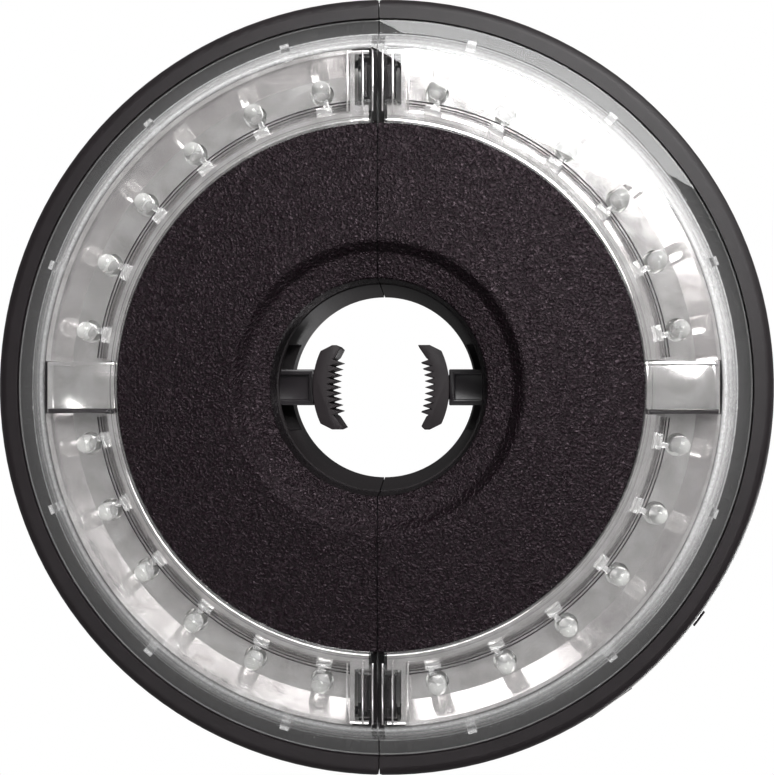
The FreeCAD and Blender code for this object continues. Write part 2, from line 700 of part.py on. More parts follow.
led_hole = rod("LedHole", S.led_flange_r + S.led_slack, 0, 0, -S.lead_length, S.led_barrel + S.led_r)


def end_plate(quarter, side, way):
    """Flat plate between a tray's end and the seam, cut out round the lens's pocket, with its leg."""
    start, end = span(way, tray_lip_r, plate_end_r)
    strip_x = S.tray_end - S.end_strip
    plate = beam("EndPlate_" + quarter, side, inner_face_x + S.end_plate_gap, S.tray_end, start, end,
                 plate_z, plate_z + S.tray_wall)
    leg = beam("EndLeg_" + quarter, side, strip_x, S.tray_end + S.slack, start, end, plate_z, tray_under_z)
    start, end = span(way, pocket_start - S.slack, pocket_end + S.slack)
    room = beam("EndRoom_" + quarter, side, 0, strip_x, start, end, plate_z - S.overrun, tray_under_z)
    return carve("EndCut_" + quarter, join("EndAll_" + quarter, [plate, leg]), [room])


def reflector(quarter, side, way):
    """A quarter of the silver tray with a hole for each lamp, two posts and its end plate."""
    tray = ring("TrayRing_" + quarter, tray_corners(), facing_of(side))
    start, end = span(way, S.tray_end, FAR)
    window = beam("TrayWindow_" + quarter, side, S.tray_end, FAR, start, end, front, rear)
    pieces = [overlap("Tray_" + quarter, tray, window), end_plate(quarter, side, way)]
    post_circle_r = floor_outer_r - S.tray_post_r
    for number in range(2):
        angle = math.radians(S.led_first.value + S.led_step.value * (1.5 + 2 * number))
        pieces.append(rod("TrayPost_%s%d" % (quarter, number), S.tray_post_r,
                          post_circle_r * (side * math.cos(angle)), post_circle_r * (way * math.sin(angle)),
                          tray_floor_z + S.tray_wall / 2, board_z))
    holes = copies("TrayHoles_" + quarter, led_hole, led_places(side, way))
    return node("reflector_" + quarter,
                carve("TrayPart_" + quarter, join("TrayAll_" + quarter, pieces), [holes]))


def divider(word, side):
    """Flat bridge between two reflector trays."""
    plate = beam("DividerPlate%s" % word, side, tray_lip_r, plate_end_r, -S.divider_half, S.divider_half,
                 plate_z, plate_z + S.tray_wall)
    legs = []
    for number, way in enumerate((-1, 1)):
        low_y, high_y = span(way, S.divider_half - S.tray_wall, S.divider_half)
        legs.append(beam("DividerLeg%s%d" % (word, number), side, tray_lip_r, plate_end_r, low_y, high_y,
                         plate_z, tray_under_z))
    return node("divider_" + word, join("DividerPart%s" % word, [plate] + legs))


# ---------------------------------------------------------------- lamps and their boards

def led_master():
    flange = rod("LedFlange", S.led_flange_r, 0, 0, 0, S.led_flange)
    barrel = rod("LedBarrel", S.led_r, 0, 0, 0, S.led_barrel)
    tip = doc.addObject("Part::Sphere", "LedTip")
    bind(tip, "Radius", S.led_r)
    bind(tip, "Placement.Base.z", S.led_barrel)
    return join("LedMaster", [flange, barrel, tip])


def lead_pair(name, radius, length):
    """Two rods where a lamp's leads stand."""
    half = S.lead_spacing / 2
    return join(name, [rod("%s%d" % (name, i), radius, 0, half * way, -as_size(length), 0)
                       for i, way in enumerate((-1, 1))])


lead_master = lead_pair("LeadMaster", S.lead_r, S.lead_length)
lead_hole = lead_pair("LeadHole", S.lead_r + S.lead_slack, S.lead_length + S.overrun)


def led_board(word, side):
    """Arc board under the trays, with a pair of holes for each lamp's leads."""
    corners = [
        (face_r, board_z), (board_outer_r, board_z),
        (board_outer_r, board_z + S.board_thick), (face_r, board_z + S.board_thick)]
    keep_x = inner_face_x + S.board_gap
    strip = block("BoardGap%s" % word, -keep_x, keep_x, -FAR, FAR, -FAR, FAR)
    places = [place for way in (1, -1) for place in led_places(side, way)]
    holes = copies("LeadHoles%s" % word, lead_hole, places)
    return node("led_board_" + word, carve("BoardPart%s" % word, ring("Board%s" % word, corners,
                                                                      facing_of(side)), [strip, holes]))


# ---------------------------------------------------------------- spring jaws

def pad_corners():
    """Toothed outline of a jaw pad, from its lower lip to its upper lip."""
    def face_x(y):
        return S.pad_tip_x - y * y / (S.grip_r * 2)

    back_x = pad_back_x + S.overrun
    corner_x = back_x - S.pad_chamfer * 2
    shoulder_y = S.pad_half - S.pad_chamfer
    spots = [(back_x, -shoulder_y), (corner_x, -S.pad_half), (S.pad_tip_x - S.sharp_lip, -S.pad_half),
             (S.pad_tip_x + S.lip_notch, -S.lip_start)]
    for number in range(-4, 5):
        tip_y = S.tooth_pitch * number
        valley_y = tip_y - S.tooth_pitch / 2
        spots.append((face_x(valley_y) + S.tooth_depth, valley_y))
        spots.append((face_x(tip_y), tip_y))
    last_y = S.tooth_pitch * 4.5
    spots.append((face_x(last_y) + S.tooth_depth, last_y))
    spots += [(S.pad_tip_x + S.lip_notch, S.lip_start),
              (S.pad_tip_x - S.blunt_lip, S.pad_half - S.blunt_lip), (S.pad_tip_x, S.pad_half),
              (corner_x, S.pad_half), (back_x, shoulder_y)]
    return spots


def stub(name, side, grow):
    """The arm's stub that plugs into the pad, grown on every side."""
    reach, half, height = S.stub_reach + grow, S.stub_half + grow, S.stub_height + grow
    return beam(name, side, pad_back_x - reach, pad_back_x + S.overrun, -half, half, -height, height)


def jaw_pad(word, side):
    half = S.pad_height / 2
    toothed = slab("PadTeeth%s" % word, pad_corners(), -half, half, facing_of(side))
    back = rod("PadBack%s" % word, S.pad_back_r, (pad_back_x - S.pad_back_r) * side, 0, -half, half)
    slot = stub("PadSlot%s" % word, side, S.stub_slack)
    return node("jaw_pad_" + word, carve("PadPart%s" % word, overlap("Pad%s" % word, toothed, back), [slot]))


def jaw_arm(word, side):
    half = S.arm_height / 2
    foot_x = arm_end_x - S.arm_foot
    arm = beam("Arm%s" % word, side, pad_back_x, arm_end_x, -S.arm_half, S.arm_half, -half, half)
    foot = beam("ArmFoot%s" % word, side, foot_x, arm_end_x, -S.arm_foot_half, S.arm_foot_half, -half, half)
    trough = beam("ArmTrough%s" % word, side, pad_back_x + S.arm_rib, foot_x - S.arm_rib,
                  -S.arm_half + S.arm_rib, S.arm_half - S.arm_rib, -half - S.overrun, -half + S.arm_rib)
    whole = join("ArmAll%s" % word, [arm, foot, stub("ArmStub%s" % word, side, 0.0)])
    return node("jaw_arm_" + word, carve("ArmPart%s" % word, whole, [trough]))


def jaw_spring(word, side):
    """Coil spring behind the arm, drawn as its sleeve."""
    start, end = span(side, arm_end_x + S.touch_gap, guide_end_x - S.guide_end_wall - S.touch_gap)
    outer = level_rod("SpringOuter%s" % word, S.spring_r, "x", start, end, 0, 0)
    inner = level_rod("SpringInner%s" % word, S.spring_r - S.wire, "x", start - S.overrun,
                      end + S.overrun, 0, 0)
    return node("jaw_spring_" + word, carve("SpringPart%s" % word, outer, [inner]))


def jaw_guide(word, side):
    """Housing that the arm and pad slide into, screwed under the back."""
    mouth_half = window_half + S.guide_wall
    body_half = throat_half + S.guide_wall
    neck_half = S.arm_half + S.slack
    arm_gap = S.arm_height / 2 + S.slack
    solids = [
        beam("GuideMouth%s" % word, side, 0, throat_x, -mouth_half, mouth_half, -guide_top, guide_top),
        beam("GuideBody%s" % word, side, mouth_end_x, guide_end_x, -body_half, body_half,
             -guide_top, guide_top),
    ]
    holes = [
        beam("GuideRoom%s" % word, side, 0, mouth_end_x, -window_half, window_half,
             -window_height, window_height),
        beam("GuideNeck%s" % word, side, mouth_end_x - S.overrun, throat_x + S.overrun,
             -neck_half, neck_half, -arm_gap, arm_gap),
        beam("GuideThroat%s" % word, side, throat_x, guide_end_x - S.guide_end_wall,
             -throat_half, throat_half, -arm_gap, arm_gap),
        rod("GuideBore%s" % word, collar_r + S.touch_gap * 2, 0, 0, -FAR, FAR),
    ]
    for number, way in enumerate((-1, 1)):
        x, y = guide_ear(side, way)
        tag = "%s%d" % (word, number)
        low_y, high_y = span(way, throat_half + S.guide_wall / 2,
                             S.arm_foot_half + S.ear_offset + S.ear_half)
        low = guide_top - S.ear_thick
        solids.append(block("GuideEar" + tag, x - S.ear_half, x + S.ear_half, low_y, high_y, low, guide_top))
        holes.append(rod("GuideEarHole" + tag, S.screw_r + S.screw_slack, x, y, low - S.overrun,
                         guide_top + S.overrun))
    return node("jaw_guide_" + word, carve("GuidePart%s" % word, join("GuideAll%s" % word, solids), holes))


# ---------------------------------------------------------------- hinge pin and latch

def hinge_pin():
    levels = knuckle_levels()
    low, high = levels[0][0] - S.slack, levels[-1][1] + S.slack
    half_head = S.pin_head / 2
    shank = rod("PinShank", S.pin_r, 0, -hinge_y, low - half_head, high + half_head)
    heads = [
        rod("PinHead", S.pin_head_r, 0, -hinge_y, low - S.pin_head, low),
        rod("PinPeen", S.pin_head_r, 0, -hinge_y, high, high + S.pin_head),
    ]
    return node("hinge_pin", join("PinPart", [shank] + heads))


def tongue_levels(grow):
    return -as_size(grow), S.tongue_height + grow


def tongue_sides(grow):
    return tongue_y - grow, tongue_y + S.tongue_width + grow


def latch_tongue():
    """Snap tongue on the swinging half."""
    low, high = tongue_levels(0)
    start, end = tongue_sides(0)
    margin = S.tongue_margin
    root_x = -inner_face_x - S.tongue_foot
    blade = block("TongueBlade", root_x, S.tongue_reach, start, end, low, high)
    foot = block("TongueFoot", root_x, -inner_face_x, start - margin, end + margin,
                 low - margin, high + margin)
    return node("latch_tongue", join("TonguePart", [blade, foot]))


def latch_socket():
    """Socket behind the fixed half's seam wall that the tongue snaps into."""
    low, high = tongue_levels(S.slack)
    start, end = tongue_sides(S.slack)
    wall = S.socket_wall
    room_x = S.tongue_reach + S.tongue_spare
    shell = block("SocketShell", inner_face_x, room_x + wall, start - wall, end + wall,
                  low - wall, high + wall)
    room = block("SocketRoom", 0, room_x, start, end, low, high)
    return node("latch_socket", carve("SocketPart", shell, [room]))


# ---------------------------------------------------------------- batteries

def battery_tray(word, side):
    near, far, low, high = bay_edges(S.bay_wall)
    shell = beam("BayShell%s" % word, side, near, far, low, high, bay_low, rear_inner)
    near, far, low, high = bay_edges(0)
    room = beam("BayRoom%s" % word, side, near, far, low, high, bay_floor, rear + S.overrun)
    return node("battery_tray_" + word, carve("BayPart%s" % word, shell, [room]))


def batteries(word, side):
    """Two cells side by side, laid head to tail."""
    cells = []
    half = S.cell_length / 2
    for number, way in enumerate((1, -1)):
        x = (cell_x + cell_step * number) * side
        tag = "%s%d" % (word, number)
        can_from, can_to = span(way, -half, half - S.cell_nub)
        nub_from, nub_to = span(way, half - S.cell_nub, half)
        cells.append(join("Cell" + tag, [
            level_rod("Can" + tag, S.cell_r, "y", can_from, can_to, x, cell_z),
            level_rod("Nub" + tag, S.cell_nub_r, "y", nub_from, nub_to, x, cell_z)]))
    return node("batteries_" + word, group("Cells%s" % word, cells))


def battery_contacts(word, side):
    """Plated strips at the bay's ends, each with a button that touches a cell."""
    near, far, _, high = bay_edges(0)
    pieces = []
    for number, way in enumerate((-1, 1)):
        tag = "%s%d" % (word, number)
        low_y, high_y = span(way, high - S.contact, high)
        plate = beam("Strip" + tag, side, near + S.wall, far - S.wall, low_y, high_y,
                     cell_z - S.contact_half, cell_z + S.contact_half)
        start, end = span(way, S.cell_length / 2 + S.touch_gap, high - S.contact)
        buttons = [level_rod("StripButton%s%d" % (tag, i), S.contact_r, "y", start, end,
                             (cell_x + cell_step * i) * side, cell_z) for i in range(2)]
        pieces.append(join("Contact" + tag, [plate] + buttons))
    return node("battery_contacts_" + word, group("Contacts%s" % word, pieces))


def battery_door(word, side):
    near, far, low, high = bay_edges(S.door_ledge - S.slack)
    plate = beam("DoorPlate%s" % word, side, near, far, low, high, rear_inner, rear)
    grip = beam("DoorGrip%s" % word, side, near + S.door_grip_inset, far - S.door_grip_inset,
                high - S.door_grip * 2, high - S.door_grip, rear - S.door_grip_depth, rear + S.overrun)
    return node("battery_door_" + word, carve("DoorPart%s" % word, plate, [grip]))


# ---------------------------------------------------------------- screws

def case_screws(word, side):
    screws = []
    half_slot = S.drive_width / 2
    for number, (x, y) in enumerate(screw_spots(side)):
        tag = "%s%d" % (word, number)
        top = screw_seat_z + S.screw_head
        head = rod("CaseHead" + tag, S.screw_head_r, x, y, screw_seat_z, top)
        shank = rod("CaseShank" + tag, S.screw_r, x, y, S.boss_low - S.screw_bite, screw_seat_z)
        drive = block("CaseDrive" + tag, x - S.drive_half, x + S.drive_half, y - half_slot, y + half_slot,
                      top - S.drive_width, rear)
        screws.append(carve("CaseScrew" + tag, join("CaseScrewAll" + tag, [head, shank]), [drive]))
    return node("case_screws_" + word, group("CaseScrews%s" % word, screws))


def guide_screws(word, side):
    screws = []
    for number, way in enumerate((-1, 1)):
        x, y = guide_ear(side, way)
        tag = "%s%d" % (word, number)
        low = guide_top - S.ear_thick
        head = rod("GuideHead" + tag, S.screw_head_r, x, y, low - S.guide_head, low)
        shank = rod("GuideShank" + tag, S.screw_r, x, y, low, rear_inner + S.wall / 4)
        screws.append(join("GuideScrew" + tag, [head, shank]))
    return node("guide_screws_" + word, group("GuideScrews%s" % word, screws))


# ---------------------------------------------------------------- power button and electronics

def power_button():
    cap = arc_slab("ButtonCap", button_turn, button_back_r, button_top_r, S.button_half,
                   button_low, button_high)
    stop = arc_slab("ButtonStop", button_turn, button_back_r, button_back_r + S.button_stop,
                    S.button_half + S.button_stop_side, button_low, button_high + S.button_stop_top)
    return node("power_button", join("ButtonPart", [cap, stop]))


def button_rod(name, radius, r_from, r_to):
    """A cylinder that lies along the button's way in, at the button's mid height."""
    turn = math.radians(button_turn)
    out = FreeCAD.Vector(math.cos(turn), math.sin(turn), 0)
    cylinder = doc.addObject("Part::Cylinder", name)
    bind(cylinder, "Radius", radius)
    bind(cylinder, "Height", as_size(r_to) - r_from)
    cylinder.Placement = FreeCAD.Placement(FreeCAD.Vector(), FreeCAD.Rotation(FreeCAD.Vector(0, 0, 1), out))
    bind(cylinder, "Placement.Base.x", r_from * out.x)
    bind(cylinder, "Placement.Base.y", r_from * out.y)
    bind(cylinder, "Placement.Base.z", button_low + S.button_height / 2)
    return cylinder


def button_parts():
    """The switch behind the button, the spring round its plunger and the board it sits on."""
    body = arc_slab("SwitchBody", button_turn, switch_back_r, switch_top_r, S.switch_half,
                    button_low, button_high)
    plunger = button_rod("SwitchPlunger", S.plunger_r, switch_top_r - S.plunger_root,
                         button_back_r - S.button_travel - S.touch_gap * 2)
    node("power_switch", join("SwitchPart", [body, plunger]))
    outer = button_rod("ButtonSpringOuter", S.button_spring_r, switch_top_r + S.touch_gap,
                       button_back_r - S.touch_gap)
    inner = button_rod("ButtonSpringInner", S.button_spring_r - S.button_wire, switch_top_r - S.overrun,
                       button_back_r + S.overrun)
    node("button_spring", carve("ButtonSpringPart", outer, [inner]))
    node("switch_board", arc_slab("SwitchBoardPart", button_turn, switch_back_r - S.board_thick,
                                  switch_back_r, S.switch_board_half, ledge_z + S.wall + S.slack,
                                  button_high + S.switch_board_rise))


def control_board():
    under = rear_inner - S.board_thick
    node("control_board", block("ControlBoard", S.control_x, S.control_x + S.control_length, S.control_y,
                                S.control_y + S.control_width, under, rear_inner))
    x, y = S.control_x + S.chip_x, S.control_y + S.chip_y
    node("control_chip", block("ControlChip", x, x + S.chip_length, y, y + S.chip_width,
                               under - S.chip_height, under))


# ---------------------------------------------------------------- assembly

for word, side in SIDES.items():
    face(word, side)
    rear_shell(word, side)
    hole_collar(word, side)
    lens(word, side)
    divider(word, side)
    led_board(word, side)
    jaw_pad(word, side)
    jaw_arm(word, side)
    jaw_spring(word, side)
    jaw_guide(word, side)
    battery_tray(word, side)
    batteries(word, side)
    battery_contacts(word, side)
    battery_door(word, side)
    case_screws(word, side)
    guide_screws(word, side)

led = led_master()
for quarter, (side, way) in QUARTERS.items():
    reflector(quarter, side, way)
    node("leds_" + quarter, copies("Leds_" + quarter, led, led_places(side, way)))
    node("led_leads_" + quarter, copies("Leads_" + quarter, lead_master, led_places(side, way)))

hinge_pin()
latch_tongue()
latch_socket()
power_button()
button_parts()
control_board()
doc.recompute()

# ---------------------------------------------------------------- checks and export

for thing in doc.Objects:
    if "Invalid" in thing.State or "Error" in thing.State:
        raise RuntimeError("%s did not build: %s" % (thing.Name, thing.State))
for name, thing in NODES.items():
    if thing.Shape.isNull() or not thing.Shape.isValid() or not thing.Shape.Solids:
        raise RuntimeError("%s has no valid shape" % name)
for name, thing in NODES.items():
    thing.Shape.exportStep("parts/%s.step" % name)
    print(name, len(thing.Shape.Solids), round(thing.Shape.Volume, 1))
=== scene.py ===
# Looks for the umbrella pole light: materials, fine pieces, camera, floor, world and lights.
# Metres; Z is the pole's axis, the lamps shine down (-Z), the hinge is at -Y and the latch at +Y.
import bmesh
import bpy
import json
import math
from mathutils import Matrix, Vector

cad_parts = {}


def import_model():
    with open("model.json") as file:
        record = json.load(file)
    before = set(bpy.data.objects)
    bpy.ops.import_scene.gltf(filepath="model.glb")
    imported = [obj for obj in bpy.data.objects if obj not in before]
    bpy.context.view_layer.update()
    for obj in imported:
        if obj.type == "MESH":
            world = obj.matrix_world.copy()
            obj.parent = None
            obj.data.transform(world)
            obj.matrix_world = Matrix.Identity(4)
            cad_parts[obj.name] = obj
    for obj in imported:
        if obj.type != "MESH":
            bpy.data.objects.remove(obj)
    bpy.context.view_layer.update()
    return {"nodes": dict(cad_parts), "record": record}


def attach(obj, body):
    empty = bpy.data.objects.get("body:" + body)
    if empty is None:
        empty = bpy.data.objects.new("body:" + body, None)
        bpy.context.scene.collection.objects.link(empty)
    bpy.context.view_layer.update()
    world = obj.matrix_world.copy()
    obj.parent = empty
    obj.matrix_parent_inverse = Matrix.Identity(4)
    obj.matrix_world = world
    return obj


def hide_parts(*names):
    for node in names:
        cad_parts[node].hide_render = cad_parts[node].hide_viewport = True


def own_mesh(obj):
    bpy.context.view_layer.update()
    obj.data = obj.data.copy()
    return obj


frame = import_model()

nodes = frame["nodes"]
record = frame["record"]
MM = 0.001

# ---------------------------------------------------------------- node helpers

NOISE_LOW, NOISE_HIGH = 0.3, 0.7  # most of a noise's values lie between these


class Tree:
    """A node tree with a short way to add and join nodes."""

    def __init__(self, tree):
        self.tree = tree
        self.nodes = tree.nodes

    def add(self, kind, **values):
        node = self.nodes.new(kind)
        for key, value in values.items():
            if hasattr(node, key):
                setattr(node, key, value)
            else:
                node.inputs[key.replace("_", " ")].default_value = value
        return node

    def link(self, start, end):
        self.tree.links.new(start, end)

    def by_ray(self, ray, usual, other, surface):
        """Sends one shader to a surface socket, and another one for rays of a kind."""
        mix = self.add("ShaderNodeMixShader")
        self.link(self.add("ShaderNodeLightPath").outputs[ray], mix.inputs["Fac"])
        self.link(usual, mix.inputs[1])
        self.link(other, mix.inputs[2])
        self.link(mix.outputs["Shader"], surface)


class Shade(Tree):
    """A material with its Principled shader and the textures that its looks are made of."""

    def __init__(self, name):
        self.material = bpy.data.materials.new(name)
        self.material.use_nodes = True
        super().__init__(self.material.node_tree)
        self.main = self.nodes["Principled BSDF"]
        self.surface = self.nodes["Material Output"].inputs["Surface"]

    def spot(self):
        """Object coordinates, which are the part's own metres."""
        return self.add("ShaderNodeTexCoord").outputs["Object"]

    def noise(self, size, detail=3.0, roughness=0.55, distortion=0.0):
        """Noise whose features are about size metres across."""
        made = self.add("ShaderNodeTexNoise", Scale=1.0 / size, Detail=detail,
                        Roughness=roughness, Distortion=distortion)
        self.link(self.spot(), made.inputs["Vector"])
        return made.outputs["Fac"]

    def cells(self, size, smooth):
        """Distance from the middle of rounded cells."""
        made = self.add("ShaderNodeTexVoronoi", feature="SMOOTH_F1")
        made.inputs["Scale"].default_value = 1.0 / size
        made.inputs["Smoothness"].default_value = smooth
        self.link(self.spot(), made.inputs["Vector"])
        return made.outputs["Distance"]

    def by_radius(self, stops):
        """A grey that follows the distance from the pole's axis: (millimetres, level) stops."""
        flat = self.add("ShaderNodeVectorMath", operation="MULTIPLY")
        flat.inputs[1].default_value = (1, 1, 0)
        self.link(self.spot(), flat.inputs[0])
        radius = self.add("ShaderNodeVectorMath", operation="LENGTH")
        self.link(flat.outputs["Vector"], radius.inputs[0])
        start, end = stops[0][0], stops[-1][0]
        share = self.add("ShaderNodeMapRange", From_Min=start * MM, From_Max=end * MM)
        self.link(radius.outputs["Value"], share.inputs["Value"])
        made = self.add("ShaderNodeValToRGB")
        marks = made.color_ramp.elements
        marks[0].color, marks[1].color = self.rgba(stops[0][1]), self.rgba(stops[-1][1])
        for at, level in stops[1:-1]:
            marks.new((at - start) / (end - start)).color = self.rgba(level)
        self.link(share.outputs["Result"], made.inputs["Fac"])
        return made.outputs["Color"]

    def behind(self, level, blur=0.1 * MM):
        """1 behind a height in metres, 0 in front of it."""
        parts = self.add("ShaderNodeSeparateXYZ")
        self.link(self.spot(), parts.inputs["Vector"])
        share = self.add("ShaderNodeMapRange", From_Min=level - blur, From_Max=level + blur)
        self.link(parts.outputs["Z"], share.inputs["Value"])
        return share.outputs["Result"]

    def blend(self, first, second, kind):
        """Two colours multiplied or added."""
        made = self.add("ShaderNodeMix", data_type="RGBA", blend_type=kind)
        made.inputs[0].default_value = 1.0
        self.link(first, made.inputs[6])
        self.link(second, made.inputs[7])
        return made.outputs[2]

    def sum(self, first, second, share):
        """Two heights mixed, with this share of the second."""
        made = self.add("ShaderNodeMix", data_type="FLOAT")
        made.inputs[0].default_value = share
        self.link(first, made.inputs[2])
        self.link(second, made.inputs[3])
        return made.outputs[0]

    def ramp(self, source, low, high, low_at=NOISE_LOW, high_at=NOISE_HIGH):
        """Maps a value to a colour or a grey between two stops."""
        made = self.add("ShaderNodeValToRGB")
        stops = made.color_ramp.elements
        stops[0].position, stops[1].position = low_at, high_at
        stops[0].color, stops[1].color = self.rgba(low), self.rgba(high)
        self.link(source, made.inputs["Fac"])
        return made.outputs["Color"]

    @staticmethod
    def rgba(value):
        if isinstance(value, (int, float)):
            return (value, value, value, 1.0)
        return tuple(value) + (1.0,)

    def coat(self, source, base, roughness, at=(NOISE_LOW, NOISE_HIGH)):
        """Base colour and roughness that follow a texture, each from a low to a high value."""
        self.link(self.ramp(source, *base, *at), self.main.inputs["Base Color"])
        self.link(self.ramp(source, *roughness, *at), self.main.inputs["Roughness"])

    def bump(self, height, depth, strength):
        """Bump whose full height is depth metres."""
        made = self.add("ShaderNodeBump", Strength=strength, Distance=depth)
        self.link(height, made.inputs["Height"])
        self.link(made.outputs["Normal"], self.main.inputs["Normal"])

    def set(self, **values):
        for key, value in values.items():
            socket = self.main.inputs[key.replace("_", " ")]
            socket.default_value = self.rgba(value) if socket.type == "RGBA" else value

    def clear_to_shadows(self, shader, level):
        """Lets the light of lamps and softboxes straight through, dimmed to a level."""
        clear = self.add("ShaderNodeBsdfTransparent", Color=(level, level, level, 1.0))
        self.by_ray("Is Shadow Ray", shader, clear.outputs["BSDF"], self.surface)


# ---------------------------------------------------------------- materials

# stops in millimetres from the pole's axis: the lens's wall is at 88 to 94, its flange beyond; the wall's
# bright rings are painted highlights, the flange's level a dull haze
WALL_HIGHLIGHT_RINGS_AND_FLANGE_HAZE = [(88.0, 0.0), (88.8, 0.50), (89.6, 0.22), (90.6, 0.42), (91.4, 0.20), (92.4, 0.40),
             (93.0, 0.22), (93.7, 0.75), (94.1, 0.50), (98.0, 0.50)]
# tone of the diffuse veil: light on the wall for its painted highlight rings, dark on the flange, with a
# painted highlight line at 97.5
VEIL_TONE_AND_EDGE_HIGHLIGHT = [(88.0, 0.85), (93.8, 0.85), (94.1, 0.15), (97.2, 0.12), (97.5, 0.30), (98.0, 0.12)]
LUG_HAZE = [(70.0, 0.16), (77.2, 0.16), (77.5, 0.0)]
LUG_LEVEL = -19.5 * MM


def grained_black():
    """Leather-like pebble grain moulded into the front disc."""
    shade = Shade("grained_black")
    worms = shade.noise(0.90 * MM, 1.5, 0.5, 1.6)
    grain = shade.sum(worms, shade.cells(0.70 * MM, 0.3), 0.3)
    shade.link(shade.ramp(grain, (0.0001, 0.0001, 0.0001), (0.0060, 0.0030, 0.0046), 0.43, 0.56),
               shade.main.inputs["Base Color"])
    shade.link(shade.ramp(grain, 0.55, 0.24, 0.40, 0.54), shade.main.inputs["Roughness"])
    shade.set(Specular_IOR_Level=0.24, Specular_Tint=(1.0, 0.80, 0.90))
    shade.bump(grain, 0.70 * MM, 1.0)
    return shade.material


def case_black():
    """Finely spark-eroded casing."""
    shade = Shade("case_black")
    fine = shade.noise(0.30 * MM, 4.0, 0.65)
    both = shade.sum(fine, shade.noise(6 * MM), 0.3)
    shade.link(shade.ramp(both, (0.004, 0.0025, 0.003), (0.014, 0.010, 0.012)),
               shade.main.inputs["Base Color"])
    shade.link(shade.ramp(fine, 0.38, 0.58), shade.main.inputs["Roughness"])
    shade.set(Specular_IOR_Level=0.35)
    shade.bump(fine, 0.10 * MM, 0.7)
    return shade.material


def smooth_black():
    """Polished black mouldings: arms, guides, latch and battery trays; also the strips and lines of painted
    shade in the ring.
    """
    shade = Shade("smooth_black")
    coarse = shade.noise(9 * MM, 4.0)
    shade.coat(coarse, ((0.010, 0.008, 0.010), (0.018, 0.015, 0.017)), (0.25, 0.38))
    shade.bump(shade.noise(1.2 * MM, 2.0), 0.02 * MM, 0.3)
    return shade.material


def black_rubber():
    """Dull rubber of the toothed pads."""
    shade = Shade("black_rubber")
    fine = shade.noise(0.25 * MM, 5.0, 0.65)
    shade.link(shade.ramp(fine, (0.006, 0.004, 0.005), (0.018, 0.013, 0.015)),
               shade.main.inputs["Base Color"])
    shade.set(Roughness=0.55, Specular_IOR_Level=0.3)
    shade.bump(fine, 0.08 * MM, 0.6)
    return shade.material


def clear_plastic():
    """Clear lens: its wall has fine painted highlight rings, its flange a dull speckle with a painted
    highlight line near its edge.
    """
    shade = Shade("clear_plastic")
    faint = shade.noise(25 * MM, 2.0)
    shade.set(Base_Color=(0.97, 0.97, 0.965), IOR=1.49, Transmission_Weight=1.0)
    shade.link(shade.ramp(faint, 0.0, 0.03), shade.main.inputs["Roughness"])
    shade.bump(faint, 0.10 * MM, 0.15)
    lugs = shade.blend(shade.behind(LUG_LEVEL), shade.by_radius(LUG_HAZE), "MULTIPLY")
    # painted highlights: bright rings on the wall and a line at the flange's edge, drawn as a light diffuse
    # veil over the clear shader
    haze_and_highlight_rings = shade.blend(shade.by_radius(WALL_HIGHLIGHT_RINGS_AND_FLANGE_HAZE), lugs, "ADD")
    speckle = shade.ramp(shade.noise(0.5 * MM, 4.0, 0.6), 0.35, 1.0)
    veil = shade.add("ShaderNodeBsdfDiffuse")
    shade.link(shade.by_radius(VEIL_TONE_AND_EDGE_HIGHLIGHT), veil.inputs["Color"])
    haze_and_highlight_mix = shade.add("ShaderNodeMixShader")
    shade.link(shade.blend(speckle, haze_and_highlight_rings, "MULTIPLY"), haze_and_highlight_mix.inputs["Fac"])
    shade.link(shade.main.outputs["BSDF"], haze_and_highlight_mix.inputs[1])
    shade.link(veil.outputs["BSDF"], haze_and_highlight_mix.inputs[2])
    shade.clear_to_shadows(haze_and_highlight_mix.outputs["Shader"], 0.93)
    return shade.material


def lamp_epoxy():
    """Slightly milky epoxy of the lamps."""
    shade = Shade("lamp_epoxy")
    shade.set(Base_Color=(0.97, 0.97, 0.96), IOR=1.52, Transmission_Weight=0.85)
    shade.link(shade.ramp(shade.noise(3 * MM, 2.0), 0.04, 0.12), shade.main.inputs["Roughness"])
    shade.clear_to_shadows(shade.main.outputs["BSDF"], 0.9)
    return shade.material


def reflector_silver():
    """Vacuum-metallised tray with a faint orange peel."""
    shade = Shade("reflector_silver")
    peel = shade.noise(7 * MM, 3.0, 0.5, 0.4)
    shade.coat(peel, ((0.63, 0.61, 0.61), (0.76, 0.745, 0.745)), (0.11, 0.17))
    shade.set(Metallic=0.85)
    shade.bump(peel, 0.12 * MM, 0.35)
    return shade.material


def metal(name, low, high, roughness, size):
    """Bare metal whose grain is about size metres across."""
    shade = Shade(name)
    grain = shade.noise(size, 4.0, 0.6)
    shade.coat(grain, (low, high), (roughness, roughness + 0.14))
    shade.set(Metallic=1.0)
    shade.bump(grain, 0.02 * MM, 0.5)
    return shade.material


def plain(name, low, high, roughness, size):
    """Board, film or moulding whose mottle is about size metres across."""
    shade = Shade(name)
    grain = shade.noise(size, 4.0, 0.6)
    shade.coat(grain, (low, high), (roughness, roughness + 0.15))
    shade.bump(grain, 0.03 * MM, 0.5)
    return shade.material


